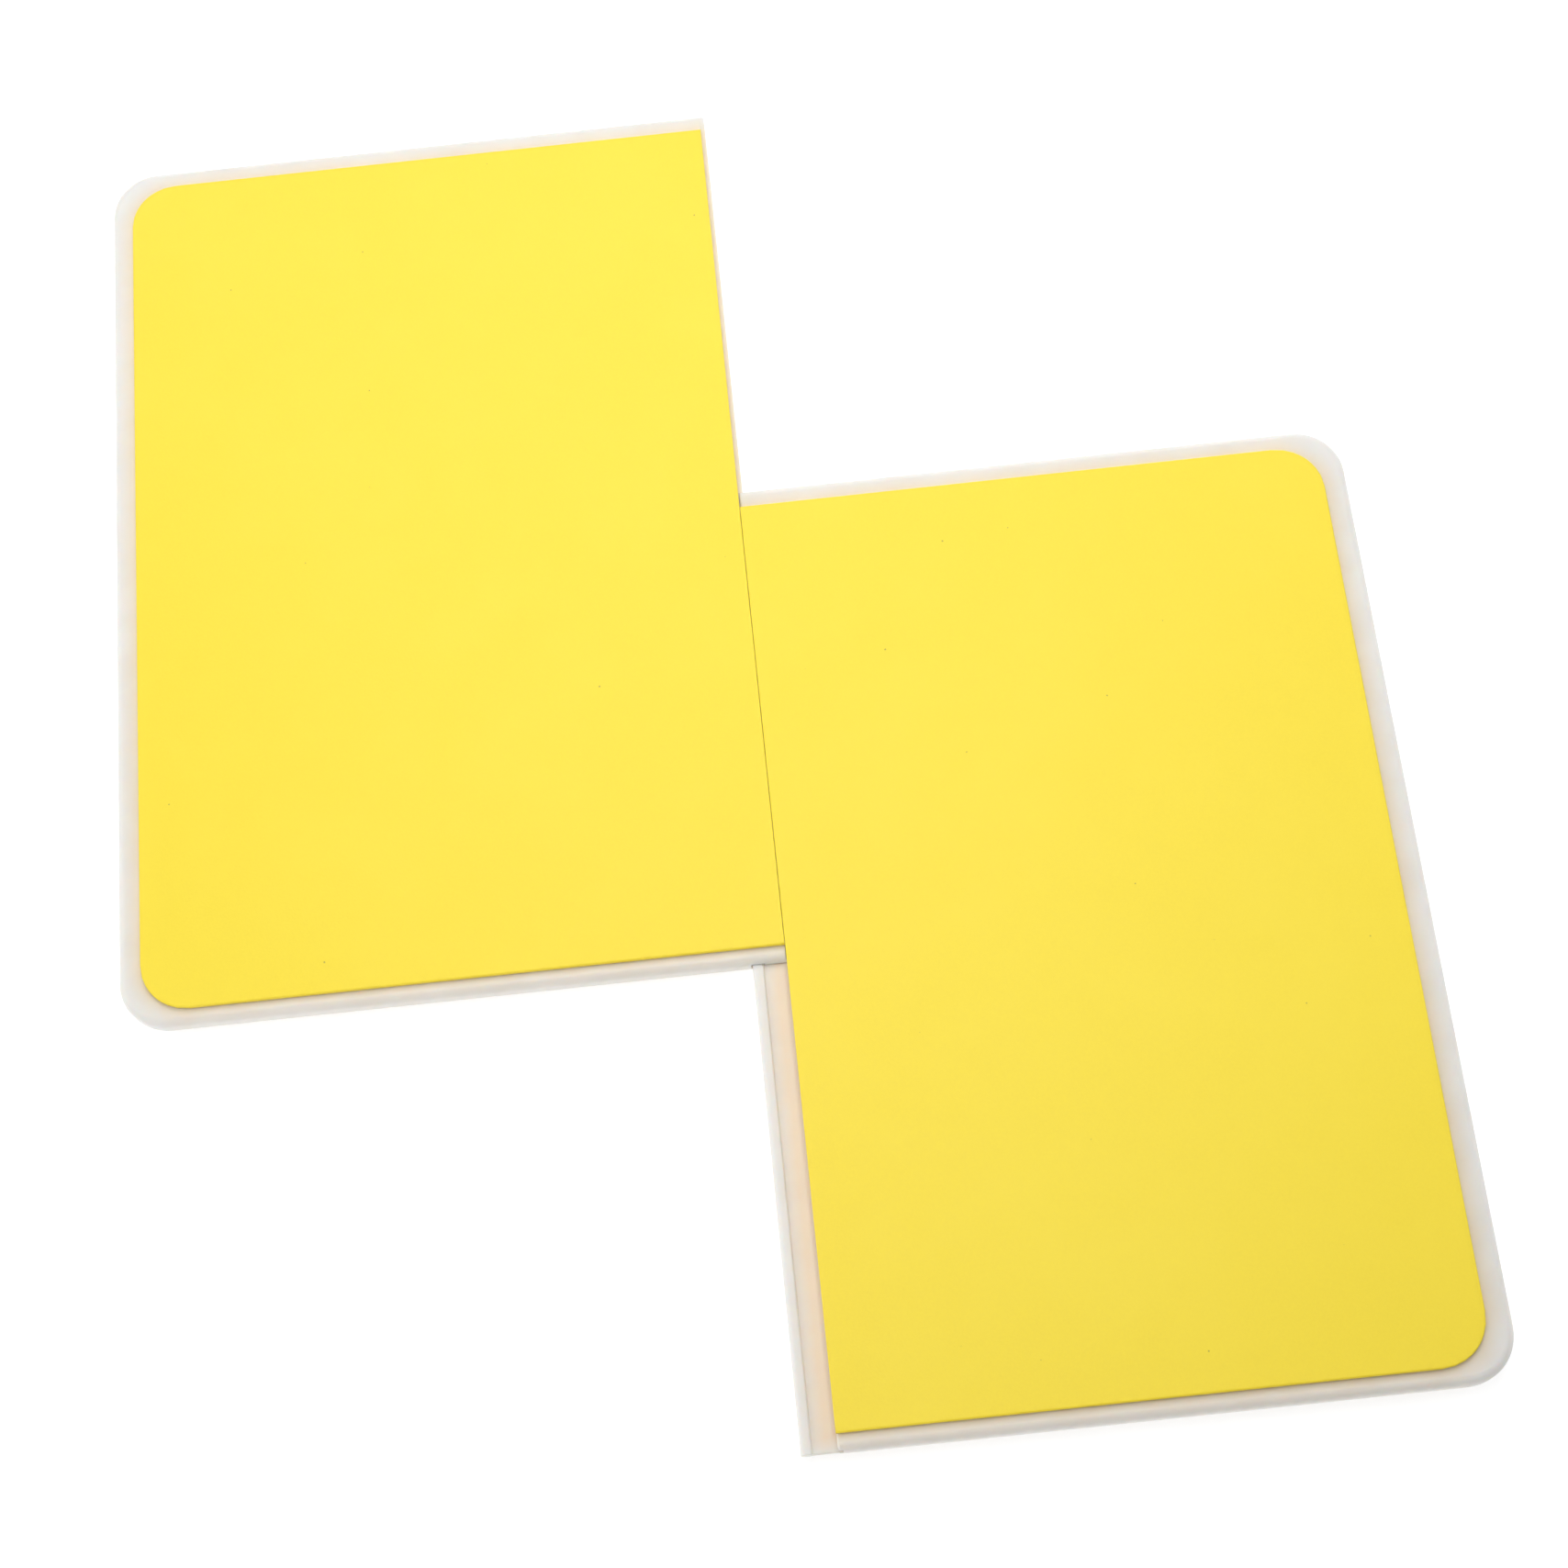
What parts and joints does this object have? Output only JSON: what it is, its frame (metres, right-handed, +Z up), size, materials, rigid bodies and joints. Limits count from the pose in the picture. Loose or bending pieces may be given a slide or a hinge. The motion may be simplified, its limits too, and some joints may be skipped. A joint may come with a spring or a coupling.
{
  "type": "rebreakable martial arts practice board",
  "caption": "Flat rectangular martial arts practice board, its milky plastic halves slid half apart along a tongue and groove, with thin yellow foam glued to each face.",
  "frame": {"origin": "middle of the footprint with the halves half slid apart, on the surface that the board lies on", "axes": "+Z up out of the front face, +Y along the seam towards the end where the grooved half sticks out, +X across the seam towards the tongued half"},
  "size_m": [0.3, 0.3398, 0.0084],
  "materials": {
    "moulded_board": "satin milky white, softly rounded moulded edges",
    "foam_pad": "matt closed-cell EVA foam with a very fine pebble",
    "adhesive_film": "thin translucent double-sided adhesive"
  },
  "bodies": {
    "left_half": {"grooved_board_half": "moulded_board", "left_front_foam_pad": "foam_pad", "left_back_foam_pad": "foam_pad", "left_front_adhesive_film": "adhesive_film", "left_back_adhesive_film": "adhesive_film"},
    "right_half": {"tongued_board_half": "moulded_board", "right_front_foam_pad": "foam_pad", "right_back_foam_pad": "foam_pad", "right_front_adhesive_film": "adhesive_film", "right_back_adhesive_film": "adhesive_film"}
  },
  "joints": [
    {"name": "seam_slide", "type": "slide", "parent": "left_half", "child": "right_half", "axis": [0, 1, 0], "range_m": [-0.115, 0.1097]}
  ]
}
